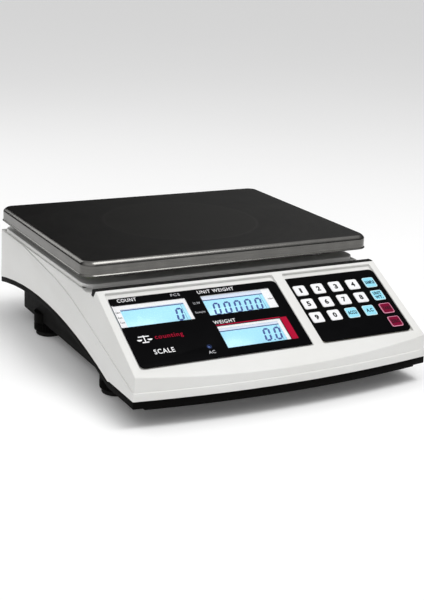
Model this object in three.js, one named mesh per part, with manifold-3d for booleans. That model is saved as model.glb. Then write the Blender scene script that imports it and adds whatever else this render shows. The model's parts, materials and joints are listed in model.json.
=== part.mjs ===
// Bench-top counting scale: a stainless pan on a single-point load cell, over a two-part plastic
// housing with a sloping console of three LCD windows and sixteen keys.
// Millimetres, +Z up, front towards -Y, origin on the table under the middle of the scale.
import * as THREE from "three";
import { mergeVertices } from "three/addons/utils/BufferGeometryUtils.js";
import Module from "manifold-3d";

const wasm = await Module();
wasm.setup();

// ---------------------------------------------------------------- driving dimensions
const GAP = 0.3; // clearance left between pieces that touch in the real scale
const WALL = 2.5; // moulded wall thickness
const WIDE = 160; // half width of cutters that pass right through the housing
const HIGH = 110; // top of cutters that clear the deck

// housing
const HOUSING = { halfBottom: 150, halfTop: 148, baseZ: 20, topZ: 95, rearRadius: 5 };
const FRONT_Y = -178.5; // middle of the bowed front
const REAR_Y = 180.5;
const ROCKER = { half: 6.9, width: 9.4, proud: 3.2 }; // stands furthest out of the rear wall
const CENTRING = -(FRONT_Y + REAR_Y + ROCKER.proud) / 2; // moves the whole scale over the origin
const BOW = 12; // how far the front bows out past its corners
const STEP = 1; // the lower band stands this far proud of the upper walls
const LIP_Z = 32.2; // top of the lower band at the front
const COVER_FRONT_Z = 24.8; // lower edge of the white cover at the front
const FLANGE_HEIGHT = 5.6; // black rim of the base below the cover
const FLANGE_FRONT_Z = 18; // its lower edge at the front
const ARCH = { y: 60, z: 49.7, radius: 575, frontY: -113 }; // arched lower edge of the sides
const CREASE = { frontY: -164.5, bendY: -8.7, bendZ: 77, reach: 39, rearSlope: 0.094 };

// deck under the pan
const SHOULDER_Z = 88.4;
const PLATEAU = { half: 145.5, frontY: -49.5, rearInset: 3, topZ: 91.9, radius: 12 };
const CHANNEL_Z = 87.8; // drip channel between plateau and console
const SEAL = { width: 7.6, rearLean: 2.2, proud: 0.3 }; // rubber strip between the ridge and the channel
const DECK_HOLE = { x: 46, y: 38, fromCell: 28 };

// console
const SLOPE = THREE.MathUtils.degToRad(28.74);
const RIDGE = { y: -77.4, z: 94.2, lean: 4.7 };
const RECESS_DEPTH = 2.6;
const CONSOLE_WALL = 5; // from the console face to the inner surface
const RECESS = { top: 3.5, bottom: 93.6, radius: 1.5 };
const DISPLAY_RECESS = { left: -140, right: 29.8 };
const KEYPAD_RECESS = { left: 40.2, right: 140 };
const OVERLAY = { top: 10, bottom: 91.2, from: 1.1, to: 1.9, radius: 5 };
const DISPLAY_OVERLAY = { left: -138.8, right: 29.4 };
const KEYPAD_OVERLAY = { left: 40.8, right: 139.6 };

// windows: left, right, top, bottom edges on the console face
const WINDOWS = {
  count: { left: -138.1, right: -67.6, top: 18.2, bottom: 44.8 },
  unit_weight: { left: -52.8, right: 19, top: 18.2, bottom: 43.2 },
  weight: { left: -52.4, right: 12.6, top: 56, bottom: 82.6 },
};
const CHARGE_LED = { x: -69, s: 78, radius: 1.5 };

// keys
const KEY = { size: 12.7, radius: 1.6, from: 1.45, to: 2.3, clearance: 0.35 };
const KEY_GRID = { x: 49.6, s: 27, pitchX: 19.5, pitchS: 17.3 };
const KEY_ROWS = [
  ["key_1", "key_2", "key_3", "key_4", "key_sample"],
  ["key_5", "key_6", "key_7", "key_8", "key_unit_weight"],
  ["key_9", "key_0", "key_add", "key_clear_total", "key_tare"],
  [null, null, null, null, "key_zero"],
];

// base
const TUB = { half: 138.5, rearY: 139.5, frontInset: 1.6, floorZ: 15.5, floor: 2.5 };
const FOOT = { x: 128, frontY: -82.5, rearY: 88.5, wheel: 15.4, pad: 13.4, padHeight: 4, bossZ: 13.2 };
const STUD = { radius: 3.9, topZ: 38, clearance: 0.25 };

// weighing parts
const PAN_Y = 54.5; // middle of the pan and of the load cell
const PAN = { width: 304.6, depth: 234.6, topZ: 116, skirt: 13.6, sheet: 1.4, radius: 13, bend: 2.4 };
const CELL = { length: 130, width: 30, height: 22, z: 32 };
const CELL_TRAVEL = 0.8; // clearance for the loaded end to sink under a full load
const CELL_BOLT = { radius: 3, head: 5, headHeight: 5, pitch: 15, end: 9 };
const FRAME_PLATE = { x: 64, y: 176, thickness: 3, z: 18.4 };
const SPIDER = { z: 94.2, thickness: 5, railX: 104, railLength: 190, rail: 15, bar: 34 };
const CUSHION = { radius: 9, stem: 3, clearance: 0.4 };

// electrics
const BATTERY = { x: 80, y: 22, width: 70, depth: 101, height: 47 };
const TRANSFORMER = { x: -79, y: 84, width: 56, depth: 50, height: 44 };
const MAIN_BOARD = { x: -80, y: -14, width: 90, depth: 88, z: 27, thickness: 1.6, postInset: 6 };
const INLET = { x: 92, z: 64, width: 27.4, height: 20, depth: 20, flangeX: 32, flangeZ: 25 };
const SWITCH = { x: 48, z: 64, width: 12.8, height: 19.4, depth: 16, flangeX: 15, flangeZ: 21 };
const LEVEL = { x: -126, y: -20, radius: 7.5, height: 5 };

// ---------------------------------------------------------------- materials
const COLOURS = {
  whiteAbs: [0xe6e6e3, 0.45, 0],
  blackAbs: [0x14120f, 0.6, 0],
  overlay: [0x101012, 0.35, 0],
  keyWhite: [0xf4f4f6, 0.5, 0],
  keyBlue: [0x9be3f7, 0.5, 0],
  keyRed: [0xa50d45, 0.5, 0],
  clear: [0xdfe8ea, 0.1, 0],
  lcd: [0xaae6f6, 0.3, 0],
  board: [0x1f6b3a, 0.6, 0],
  circuit: [0xc9b27a, 0.6, 0],
  stainless: [0x8a8b8d, 0.32, 1],
  aluminium: [0xb4b6b8, 0.45, 1],
  steel: [0x9a9b9c, 0.4, 1],
  rubber: [0x0c0c0c, 0.85, 0],
  battery: [0x2b2c30, 0.6, 0],
  copper: [0x7a4a2c, 0.5, 0.4],
  led: [0x3b4fb0, 0.2, 0],
  vial: [0xb8d85a, 0.15, 0],
};

const group = new THREE.Group();
group.position.y = CENTRING;

function material(name) {
  const [color, roughness, metalness] = COLOURS[name];
  return new THREE.MeshStandardMaterial({ color, roughness, metalness });
}

function addNode(name, geometry, look, parent = group) {
  const mesh = new THREE.Mesh(geometry, material(look));
  mesh.name = name;
  parent.add(mesh);
  return mesh;
}

// ---------------------------------------------------------------- joining and cutting
function bare(geometry) {
  const plain = geometry.clone();
  plain.deleteAttribute("normal");
  plain.deleteAttribute("uv");
  return mergeVertices(plain, 1e-4);
}

function toManifold(geometry) {
  const merged = bare(geometry);
  const vertProperties = new Float32Array(merged.attributes.position.array);
  const triVerts = new Uint32Array(merged.index.array);
  return new wasm.Manifold(new wasm.Mesh({ numProp: 3, vertProperties, triVerts }));
}

function fromManifold(solid) {
  const mesh = solid.getMesh();
  const geometry = new THREE.BufferGeometry();
  geometry.setAttribute("position", new THREE.BufferAttribute(mesh.vertProperties, 3));
  geometry.setIndex(new THREE.BufferAttribute(mesh.triVerts, 1));
  return geometry;
}

function join(...solids) {
  return solids.reduce((whole, next) => whole.add(next));
}

// ---------------------------------------------------------------- basic solids
function box(x0, x1, y0, y1, z0, z1) {
  const geometry = new THREE.BoxGeometry(x1 - x0, y1 - y0, z1 - z0);
  return toManifold(geometry.translate((x0 + x1) / 2, (y0 + y1) / 2, (z0 + z1) / 2));
}

function cylinder(x, y, radius, z0, z1, sides = 24) {
  const geometry = new THREE.CylinderGeometry(radius, radius, z1 - z0, sides);
  return toManifold(geometry.rotateX(Math.PI / 2).translate(x, y, (z0 + z1) / 2));
}

// A closed solid from rings that all have the same number of points, going round anticlockwise
// seen from the last ring; both end rings are capped as flat polygons.
function loft(rings) {
  const count = rings[0].length;
  const points = rings.flat();
  const index = [];
  for (let r = 0; r + 1 < rings.length; r++) {
    for (let i = 0; i < count; i++) {
      const a = r * count + i;
      const b = r * count + ((i + 1) % count);
      index.push(a, b, b + count, a, b + count, a + count);
    }
  }
  const cap = (ring) => {
    const flat = ring.map(([x, y]) => new THREE.Vector2(x, y));
    return THREE.ShapeUtils.triangulateShape(flat, []);
  };
  const last = (rings.length - 1) * count;
  for (const [a, b, c] of cap(rings[0])) index.push(a, c, b);
  for (const [a, b, c] of cap(rings[rings.length - 1])) index.push(a + last, b + last, c + last);
  const geometry = new THREE.BufferGeometry();
  geometry.setAttribute("position", new THREE.Float32BufferAttribute(points.flat(), 3));
  geometry.setIndex(index);
  return toManifold(geometry);
}

// A side profile, given as [y, z] points, carried straight across from -half to +half.
function acrossX(profile, half) {
  const shape = new THREE.Shape(profile.map(([y, z]) => new THREE.Vector2(y, z)));
  const geometry = new THREE.ExtrudeGeometry(shape, { depth: 2 * half, bevelEnabled: false });
  geometry.applyMatrix4(new THREE.Matrix4().set(0, 0, 1, -half, 1, 0, 0, 0, 0, 1, 0, 0, 0, 0, 0, 1));
  return toManifold(geometry);
}

// Points round a rectangle, anticlockwise, with each corner an arc of that many segments; corners
// named in sharp ("tl", "tr", "bl", "br") stay square.
function roundedPoints(x0, x1, y0, y1, radius, segments = 4, sharp = []) {
  const corners = [
    ["br", x1, y0, 1, -1],
    ["tr", x1, y1, 1, 1],
    ["tl", x0, y1, -1, 1],
    ["bl", x0, y0, -1, -1],
  ];
  return corners.flatMap(([name, x, y, sx, sy], turn) => {
    if (radius === 0 || sharp.includes(name)) return [[x, y]];
    return Array.from({ length: segments + 1 }, (_, i) => {
      const angle = (turn - 1 + i / segments) * (Math.PI / 2);
      const middle = [x - sx * radius, y - sy * radius];
      return [middle[0] + radius * Math.cos(angle), middle[1] + radius * Math.sin(angle)];
    });
  });
}

function plate(points, z0, z1) {
  const shape = new THREE.Shape(points.map(([x, y]) => new THREE.Vector2(x, y)));
  const geometry = new THREE.ExtrudeGeometry(shape, { depth: z1 - z0, bevelEnabled: false });
  return toManifold(geometry.translate(0, 0, z0));
}

// ---------------------------------------------------------------- housing outline
// Plan outline of the housing: bowed front, straight sides, rounded rear corners.
function housingOutline(half, inset, z, cuts) {
  const frontY = FRONT_Y + BOW + inset;
  const rearY = REAR_Y - inset;
  const halfX = half - inset;
  const points = [];
  for (let i = 0; i <= cuts; i++) {
    const t = (2 * i) / cuts - 1;
    points.push([t * halfX, frontY - BOW * (1 - t * t), z]);
  }
  const radius = Math.max(HOUSING.rearRadius - inset, 1);
  for (const side of [1, -1]) {
    for (let i = 0; i <= 4; i++) {
      const turn = (i / 4) * (Math.PI / 2);
      const angle = side > 0 ? turn : Math.PI / 2 + turn;
      points.push([
        side * (halfX - radius) + radius * Math.cos(angle),
        rearY - radius + radius * Math.sin(angle),
        z,
      ]);
    }
  }
  return points;
}

// The drafted block that the walls are cut from.
function housingBlock(inset, z0, z1, cuts = 14) {
  const halfAt = (z) => {
    const t = (z - HOUSING.baseZ) / (HOUSING.topZ - HOUSING.baseZ);
    return THREE.MathUtils.lerp(HOUSING.halfBottom, HOUSING.halfTop, Math.max(t, 0));
  };
  const levels = [z0, HOUSING.baseZ, z1].filter((z) => z >= z0);
  return loft(levels.map((z) => housingOutline(halfAt(z), inset, z, cuts)));
}

function archZ(y) {
  return ARCH.z - (y - ARCH.y) ** 2 / (2 * ARCH.radius);
}

// Points along the arched lower edge from the front kink to the rear, lowered by drop.
function archPoints(drop, steps = 12) {
  const points = [];
  for (let i = 0; i <= steps; i++) {
    const y = THREE.MathUtils.lerp(ARCH.frontY, REAR_Y + 5, i / steps);
    points.push([y, archZ(y) - drop]);
  }
  return points;
}

// Lower edge of the cover from front to rear, as a polyline lowered by drop.
function lowerEdge(drop, frontZ) {
  return [[FRONT_Y - 5, frontZ], [ARCH.frontY - 4, frontZ], ...archPoints(drop)];
}

// The crease: flat along the front lip, rising along the sides, bending towards the rear corner.
function creasePoints() {
  const { frontY, bendY, bendZ, reach, rearSlope } = CREASE;
  const frontSlope = (bendZ - LIP_Z) / (bendY - frontY);
  const start = new THREE.Vector2(bendY - reach, bendZ - reach * frontSlope);
  const end = new THREE.Vector2(bendY + reach, bendZ + reach * rearSlope);
  const bend = new THREE.QuadraticBezierCurve(start, new THREE.Vector2(bendY, bendZ), end);
  const rearZ = bendZ + (REAR_Y + 5 - bendY) * rearSlope;
  const curve = bend.getPoints(6).map((p) => [p.x, p.y]);
  return [[FRONT_Y - 5, LIP_Z], [frontY, LIP_Z], ...curve, [REAR_Y + 5, rearZ]];
}

function consoleZ(y, depth = 0) {
  return RIDGE.z - depth / Math.cos(SLOPE) - (RIDGE.y - y) * Math.tan(SLOPE);
}

// Top of the housing seen from the side, from the rear to the front.
function topProfile() {
  return [
    [REAR_Y + 5, PLATEAU.topZ],
    [PLATEAU.frontY, PLATEAU.topZ],
    [PLATEAU.frontY, CHANNEL_Z],
    [RIDGE.y + RIDGE.lean, CHANNEL_Z],
    [RIDGE.y, RIDGE.z],
    [FRONT_Y - 5, consoleZ(FRONT_Y - 5)],
  ];
}

// ---------------------------------------------------------------- console frame
// A group whose X runs across the console, Y runs up its slope and Z points out of its face.
// Distances down the slope are measured from the ridge, so a point s down lies at Y = -s.
const consoleFrame = new THREE.Group();
consoleFrame.position.set(0, RIDGE.y, RIDGE.z);
consoleFrame.rotation.x = SLOPE;
consoleFrame.updateMatrix();
group.add(consoleFrame);

// A cutter drawn in the console frame, moved into the scale's own frame.
function fromConsole(solid) {
  const geometry = fromManifold(solid);
  return toManifold(geometry.applyMatrix4(consoleFrame.matrix));
}

const FLOOR_W = -RECESS_DEPTH; // height of the recess floor above the console face

function consolePlate(x0, x1, top, bottom, w0, w1, radius, sharp) {
  return plate(roundedPoints(x0, x1, -bottom, -top, radius, 4, sharp), FLOOR_W + w0, FLOOR_W + w1);
}

// ---------------------------------------------------------------- top cover
function coverSkin() {
  const below = [...creasePoints(), [REAR_Y + 5, 0], [FRONT_Y - 5, 0]].reverse();
  const lower = housingBlock(0, 10, HOUSING.topZ).intersect(acrossX(below, WIDE));
  const upper = housingBlock(STEP, 10, HOUSING.topZ + 4);
  const top = [...topProfile(), [FRONT_Y - 5, 0], [REAR_Y + 5, 0]];
  return join(lower, upper).intersect(acrossX(top, WIDE));
}

function coverHollow() {
  const inner = housingBlock(STEP + WALL, 5, HOUSING.topZ, 6);
  const ridgeInnerY = RIDGE.y - WALL;
  const roof = [
    [REAR_Y + 5, PLATEAU.topZ - WALL - 1],
    [PLATEAU.frontY + 4, PLATEAU.topZ - WALL - 1],
    [PLATEAU.frontY + 4, CHANNEL_Z - WALL],
    [RIDGE.y + 0.7, CHANNEL_Z - WALL],
    [ridgeInnerY, consoleZ(ridgeInnerY, CONSOLE_WALL)],
    [FRONT_Y - 5, consoleZ(FRONT_Y - 5, CONSOLE_WALL)],
    [FRONT_Y - 5, 0],
    [REAR_Y + 5, 0],
  ];
  return inner.intersect(acrossX(roof, WIDE));
}

// What is taken off the deck to leave the shoulder round the plateau.
function shoulderCut() {
  const { half, frontY, rearInset, radius } = PLATEAU;
  const ring = box(-WIDE, WIDE, RIDGE.y + RIDGE.lean, REAR_Y + 5, SHOULDER_Z, HIGH);
  const keep = plate(roundedPoints(-half, half, frontY, REAR_Y - rearInset, radius), 80, HIGH + 1);
  return ring.subtract(keep);
}

function topCover() {
  const archRoof = [...lowerEdge(0, COVER_FRONT_Z), [REAR_Y + 5, 0], [FRONT_Y - 5, 0]].reverse();
  let cover = coverSkin().subtract(coverHollow()).subtract(acrossX(archRoof, WIDE));
  cover = cover.subtract(shoulderCut());
  for (const { left, right } of [DISPLAY_RECESS, KEYPAD_RECESS]) {
    cover = cover.subtract(
      fromConsole(consolePlate(left, right, RECESS.top, RECESS.bottom, 0, 20, RECESS.radius)),
    );
  }
  for (const { left, right, top, bottom } of Object.values(WINDOWS)) {
    cover = cover.subtract(fromConsole(consolePlate(left, right, top, bottom, -9, 1, 0)));
  }
  const led = cylinder(CHARGE_LED.x, -CHARGE_LED.s, CHARGE_LED.radius + 0.4, -20, 5, 16);
  const holeY = PAN_Y + DECK_HOLE.fromCell;
  const hole = box(-DECK_HOLE.x / 2, DECK_HOLE.x / 2, holeY, holeY + DECK_HOLE.y, 80, HIGH);
  cover = cover.subtract(fromConsole(led)).subtract(hole);
  return cover.subtract(rearCutOut(INLET)).subtract(rearCutOut(SWITCH));
}

function rearCutOut({ x, z, width, height }) {
  const halfX = width / 2 + GAP;
  const halfZ = height / 2 + GAP;
  return box(x - halfX, x + halfX, REAR_Y - 12, REAR_Y + 10, z - halfZ, z + halfZ);
}

addNode("top_cover", fromManifold(topCover()), "whiteAbs");

// Black strip that lies behind the ridge and shows as a small tooth at each side.
function consoleSeal() {
  const lowZ = CHANNEL_Z + GAP;
  const highZ = RIDGE.z + SEAL.proud;
  const frontAt = (z) => RIDGE.y + 2 * GAP + (RIDGE.lean * (RIDGE.z - z)) / (RIDGE.z - CHANNEL_Z);
  const profile = [
    [frontAt(lowZ), lowZ],
    [RIDGE.y + SEAL.width + SEAL.rearLean, lowZ],
    [RIDGE.y + SEAL.width, highZ],
    [frontAt(highZ), highZ],
  ];
  return acrossX(profile, WIDE).intersect(housingBlock(STEP, 10, HIGH));
}

addNode("console_seal", fromManifold(consoleSeal()), "rubber");

// ---------------------------------------------------------------- base tray
function tubBlock(inset, z0, z1) {
  const half = TUB.half - inset;
  const rear = TUB.rearY - inset;
  const bowed = housingBlock(STEP + TUB.frontInset + inset, 0, 100);
  const sides = plate(roundedPoints(-half, half, FRONT_Y - 20, rear, 6, 3), z0, z1);
  return bowed.intersect(sides);
}

function footPlaces() {
  const places = [];
  for (const [end, y] of [["front", FOOT.frontY], ["rear", FOOT.rearY]]) {
    for (const [side, x] of [["left", -FOOT.x], ["right", FOOT.x]]) places.push([`${end}_${side}`, x, y]);
  }
  return places;
}

function baseTray() {
  const edge = lowerEdge(GAP, COVER_FRONT_Z - GAP);
  const under = lowerEdge(FLANGE_HEIGHT, FLANGE_FRONT_Z).reverse();
  const flange = housingBlock(0.4, 10, 100).intersect(acrossX([...edge, ...under].reverse(), WIDE));
  const underEdge = acrossX([...edge, [REAR_Y + 5, 0], [FRONT_Y - 5, 0]].reverse(), WIDE);
  const tub = tubBlock(0, TUB.floorZ, 100).intersect(underEdge);
  const skirtFloor = lowerEdge(FLANGE_HEIGHT - WALL, FLANGE_FRONT_Z + WALL);
  const aboveFloor = acrossX([...skirtFloor, [REAR_Y + 5, 100], [FRONT_Y - 5, 100]].reverse(), WIDE);
  const flangeHollow = housingBlock(WALL + 1.4, 5, 100).intersect(aboveFloor);
  const hollow = tubBlock(WALL, TUB.floorZ + TUB.floor, 101);
  let tray = join(flange, tub).subtract(flangeHollow).subtract(hollow);
  for (const [, x, y] of footPlaces()) tray = join(tray, cylinder(x, y, FOOT.wheel, FOOT.bossZ, 24, 24));
  for (const [, x, y] of footPlaces()) {
    tray = tray.subtract(cylinder(x, y, STUD.radius + STUD.clearance, 0, 60, 12));
  }
  return tray;
}

addNode("base_tray", fromManifold(baseTray()), "blackAbs");

// ---------------------------------------------------------------- console pieces
function displayOverlay() {
  const { left, right } = DISPLAY_OVERLAY;
  const { top, bottom, from, to, radius } = OVERLAY;
  let sheet = consolePlate(left, right, top, bottom, from, to, radius, ["tl", "br"]);
  for (const w of Object.values(WINDOWS)) {
    sheet = sheet.subtract(consolePlate(w.left, w.right, w.top, w.bottom, from - 1, to + 1, 0));
  }
  return sheet.subtract(cylinder(CHARGE_LED.x, -CHARGE_LED.s, CHARGE_LED.radius + 0.3, -5, 5, 16));
}

function window3d({ left, right, top, bottom }) {
  const { from, to } = OVERLAY;
  return consolePlate(left + GAP, right - GAP, top + GAP, bottom - GAP, from, to - 0.1, 0);
}

function lcdModule({ left, right, top, bottom }) {
  return consolePlate(left + 0.6, right - 0.6, top + 0.6, bottom - 0.6, -8.4, 0.7, 0);
}

function keyCentre(row, column) {
  return [KEY_GRID.x + column * KEY_GRID.pitchX, -(KEY_GRID.s + row * KEY_GRID.pitchS)];
}

function forEachKey(visit) {
  KEY_ROWS.forEach((names, row) => {
    names.forEach((name, column) => {
      if (name) visit(name, ...keyCentre(row, column));
    });
  });
}

function squareAt(x, y, size, radius) {
  return roundedPoints(x - size / 2, x + size / 2, y - size / 2, y + size / 2, radius, 2);
}

function keypadOverlay() {
  const { left, right } = KEYPAD_OVERLAY;
  const { top, bottom, from, to, radius } = OVERLAY;
  let sheet = consolePlate(left, right, top, bottom, from, to, radius, ["tl"]);
  forEachKey((name, x, y) => {
    const hole = squareAt(x, y, KEY.size + 2 * KEY.clearance, KEY.radius + KEY.clearance);
    sheet = sheet.subtract(plate(hole, FLOOR_W, FLOOR_W + 5));
  });
  return sheet;
}

function keyLook(name) {
  if (name === "key_tare" || name === "key_zero") return "keyRed";
  return /^key_\d$/.test(name) ? "keyWhite" : "keyBlue";
}

function addConsolePieces() {
  addNode("display_overlay", fromManifold(displayOverlay()), "overlay", consoleFrame);
  addNode("keypad_overlay", fromManifold(keypadOverlay()), "overlay", consoleFrame);
  for (const [name, place] of Object.entries(WINDOWS)) {
    addNode(`${name}_window`, fromManifold(window3d(place)), "clear", consoleFrame);
    addNode(`${name}_lcd`, fromManifold(lcdModule(place)), "lcd", consoleFrame);
  }
  const backing = consolePlate(-134, 25, 12, 90, -11, -9.4, 1);
  addNode("display_board", fromManifold(backing), "board", consoleFrame);
  const { left, right } = KEYPAD_OVERLAY;
  const circuit = consolePlate(left + 1, right - 1, OVERLAY.top + 1, OVERLAY.bottom - 1, 0.3, 0.85, 3);
  addNode("keypad_circuit", fromManifold(circuit), "circuit", consoleFrame);
  const stem = cylinder(CHARGE_LED.x, -CHARGE_LED.s, CHARGE_LED.radius, FLOOR_W - 9, FLOOR_W + 1.8, 16);
  addNode("charge_led", fromManifold(stem), "led", consoleFrame);
  forEachKey((name, x, y) => {
    const cap = plate(squareAt(x, y, KEY.size, KEY.radius), FLOOR_W + KEY.from, FLOOR_W + KEY.to);
    addNode(name, fromManifold(cap), keyLook(name), consoleFrame);
  });
}

addConsolePieces();

// ---------------------------------------------------------------- pan and its support
function panPiece() {
  const { width, depth, topZ, skirt, sheet, radius, bend } = PAN;
  const ring = (inset, z) => {
    const half = [width / 2 - inset, depth / 2 - inset];
    const points = roundedPoints(-half[0], half[0], -half[1], half[1], Math.max(radius - inset, 2), 5);
    return points.map(([x, y]) => [x, y + PAN_Y, z]);
  };
  const rounding = [0, 1, 2, 3].map((i) => (i / 3) * (Math.PI / 2));
  const edge = (inset, r, top) => rounding.map((a) => {
    return ring(inset + r * (1 - Math.cos(a)), top - r * (1 - Math.sin(a)));
  });
  const outer = loft([ring(0, topZ - skirt), ...edge(0, bend, topZ)]);
  const inner = loft([ring(sheet, topZ - skirt - 2), ...edge(sheet, bend - sheet, topZ - sheet)]);
  return outer.subtract(inner);
}

function cushionPlaces() {
  const reach = SPIDER.railLength / 2 - SPIDER.rail / 2 - 2;
  const places = [];
  for (const [end, sy] of [["front", -1], ["rear", 1]]) {
    for (const [side, sx] of [["left", -1], ["right", 1]]) {
      places.push([`${end}_${side}`, sx * SPIDER.railX, PAN_Y + sy * reach]);
    }
  }
  return places;
}

function spiderFrame() {
  const { z, thickness, railX, railLength, rail, bar } = SPIDER;
  const top = z + thickness;
  let frame = box(-railX, railX, PAN_Y - bar / 2, PAN_Y + bar / 2, z, top);
  for (const x of [-railX, railX]) {
    const reach = railLength / 2;
    const outline = roundedPoints(x - rail / 2, x + rail / 2, PAN_Y - reach, PAN_Y + reach, 6, 3);
    frame = join(frame, plate(outline, z, top));
  }
  frame = join(frame, box(-20, 20, PAN_Y, PAN_Y + 66, z, top));
  const drill = (x, y, radius) => {
    frame = frame.subtract(cylinder(x, y, radius + CUSHION.clearance, z - 1, top + 1, 12));
  };
  for (const [, x, y] of cushionPlaces()) drill(x, y, CUSHION.stem);
  for (const y of cellBoltYs(1)) drill(0, y, CELL_BOLT.radius);
  return frame;
}

// Mushroom-shaped rubber cushion: a stem in the spider's hole and a head under the pan.
function cushion() {
  const base = SPIDER.thickness;
  const head = PAN.topZ - PAN.sheet - GAP - SPIDER.z;
  const profile = [
    [0, 0.4], [CUSHION.stem, 0.4], [CUSHION.stem, base + GAP], [CUSHION.radius, base + GAP],
    [CUSHION.radius, head - 1.5], [CUSHION.radius - 1.5, head], [0, head],
  ];
  const points = profile.map(([r, z]) => new THREE.Vector2(r, z));
  return new THREE.LatheGeometry(points, 14).rotateX(Math.PI / 2);
}

// The two bolts at one end of the load cell: end -1 is the fixed end, +1 the loaded end.
function cellBoltYs(end) {
  const first = PAN_Y + end * (CELL.length / 2 - CELL_BOLT.end);
  return [first, first - end * CELL_BOLT.pitch];
}

function loadCell() {
  const { length, width, height, z } = CELL;
  let beam = box(-width / 2, width / 2, PAN_Y - length / 2, PAN_Y + length / 2, z, z + height);
  for (const y of [-13, 13]) {
    const pocket = new THREE.CylinderGeometry(7.5, 7.5, width + 2, 20).rotateZ(Math.PI / 2);
    beam = beam.subtract(toManifold(pocket.translate(0, PAN_Y + y, z + height / 2)));
  }
  beam = beam.subtract(box(-20, 20, PAN_Y - 13, PAN_Y + 13, z + height / 2 - 3, z + height / 2 + 3));
  for (const end of [-1, 1]) {
    for (const y of cellBoltYs(end)) {
      beam = beam.subtract(cylinder(0, y, CELL_BOLT.radius + GAP, z - 1, z + height + 1, 12));
    }
  }
  return beam;
}

function spacer(end, z0, z1) {
  const ys = cellBoltYs(end);
  const y0 = Math.min(...ys) - 8;
  const y1 = Math.max(...ys) + 8;
  let block = box(-14, 14, y0, y1, z0, z1);
  for (const y of ys) block = block.subtract(cylinder(0, y, CELL_BOLT.radius + GAP, z0 - 1, z1 + 1, 12));
  return block;
}

// A cap screw along Z: the head stands on headZ and the shank runs down to tipZ.
function capScrew(y, headZ, tipZ) {
  const head = cylinder(0, y, CELL_BOLT.head, headZ, headZ + CELL_BOLT.headHeight, 6);
  return join(head, cylinder(0, y, CELL_BOLT.radius, tipZ, headZ, 12));
}

function addWeighingPieces() {
  addNode("pan", fromManifold(panPiece()), "stainless");
  addNode("pan_spider", fromManifold(spiderFrame()), "aluminium");
  for (const [place, x, y] of cushionPlaces()) {
    addNode(`pan_cushion_${place}`, cushion(), "rubber").position.set(x, y, SPIDER.z);
  }
  addNode("load_cell", fromManifold(loadCell()), "aluminium");
  const cellTop = CELL.z + CELL.height;
  const plateTop = FRAME_PLATE.z + FRAME_PLATE.thickness;
  addNode("load_cell_foot", fromManifold(spacer(-1, plateTop + GAP, CELL.z - GAP)), "steel");
  addNode("load_cell_column", fromManifold(spacer(1, cellTop + CELL_TRAVEL, SPIDER.z - GAP)), "aluminium");
  cellBoltYs(-1).forEach((y, i) => {
    const bolt = capScrew(y, cellTop + GAP, plateTop - 2.4);
    addNode(`load_cell_foot_bolt_${i + 1}`, fromManifold(bolt), "steel");
  });
  cellBoltYs(1).forEach((y, i) => {
    const bolt = capScrew(y, SPIDER.z + SPIDER.thickness + GAP, CELL.z + 2);
    addNode(`load_cell_column_bolt_${i + 1}`, fromManifold(bolt), "steel");
  });
}

addWeighingPieces();

function framePlate() {
  const { x, y, thickness, z } = FRAME_PLATE;
  let sheet = plate(roundedPoints(-x / 2, x / 2, PAN_Y - y / 2, PAN_Y + y / 2 - 8, 6, 3), z, z + thickness);
  for (const hole of cellBoltYs(-1)) {
    sheet = sheet.subtract(cylinder(0, hole, CELL_BOLT.radius + GAP, z - 1, z + thickness + 1, 12));
  }
  return sheet;
}

addNode("base_frame_plate", fromManifold(framePlate()), "steel");

// ---------------------------------------------------------------- electrics
function addElectrics() {
  const floor = TUB.floorZ + TUB.floor + GAP;
  addNode("battery", fromManifold(blockAt(BATTERY, floor, floor + BATTERY.height)), "battery");
  addNode("battery_strap", fromManifold(batteryStrap(floor)), "steel");
  addNode("transformer", fromManifold(transformer(floor)), "copper");
  addNode("main_board", fromManifold(mainBoard(floor)), "board");
}

// An upright block round a place's middle, with its width and depth.
function blockAt({ x, y, width, depth }, z0, z1) {
  return box(x - width / 2, x + width / 2, y - depth / 2, y + depth / 2, z0, z1);
}

// The board with a chip, a row of connectors, two capacitors and its four posts.
function mainBoard(floor) {
  const { x, y, z, width, depth, thickness, postInset } = MAIN_BOARD;
  const top = z + thickness - GAP;
  const parts = [
    blockAt(MAIN_BOARD, z, z + thickness),
    blockAt({ x: x - 26, y: y + 2, width: 28, depth: 28 }, top, z + 5),
    blockAt({ x: x + 20, y: y - 29, width: 36, depth: 10 }, top, z + 11),
    cylinder(x + 12, y + 18, 8, top, z + 22, 16),
    cylinder(x + 32, y + 14, 6, top, z + 16, 16),
  ];
  for (const sx of [-1, 1]) {
    for (const sy of [-1, 1]) {
      const postX = x + sx * (width / 2 - postInset);
      const postY = y + sy * (depth / 2 - postInset);
      parts.push(cylinder(postX, postY, 3.5, floor, z + 1, 12));
    }
  }
  return join(...parts);
}

function batteryStrap(floor) {
  const { x, y, width, height } = BATTERY;
  const outer = box(x - width / 2 - 10, x + width / 2 + 10, y - 8, y + 8, floor, floor + height + 1.5);
  const side = width / 2 + GAP;
  const bay = box(x - side, x + side, y - 9, y + 9, floor - 1, floor + height + GAP);
  const left = box(x - 60, x - side - 1.5, y - 9, y + 9, floor + 1.5, floor + 60);
  const right = box(x + side + 1.5, x + 60, y - 9, y + 9, floor + 1.5, floor + 60);
  return outer.subtract(bay).subtract(left).subtract(right);
}

function transformer(floor) {
  const { x, y, width, depth, height } = TRANSFORMER;
  const core = box(x - width / 2, x + width / 2, y - depth / 4, y + depth / 4, floor, floor + height);
  const coil = roundedPoints(x - width / 4, x + width / 4, y - depth / 2, y + depth / 2, 4);
  return join(core, plate(coil, floor + 6, floor + height - 6));
}

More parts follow.
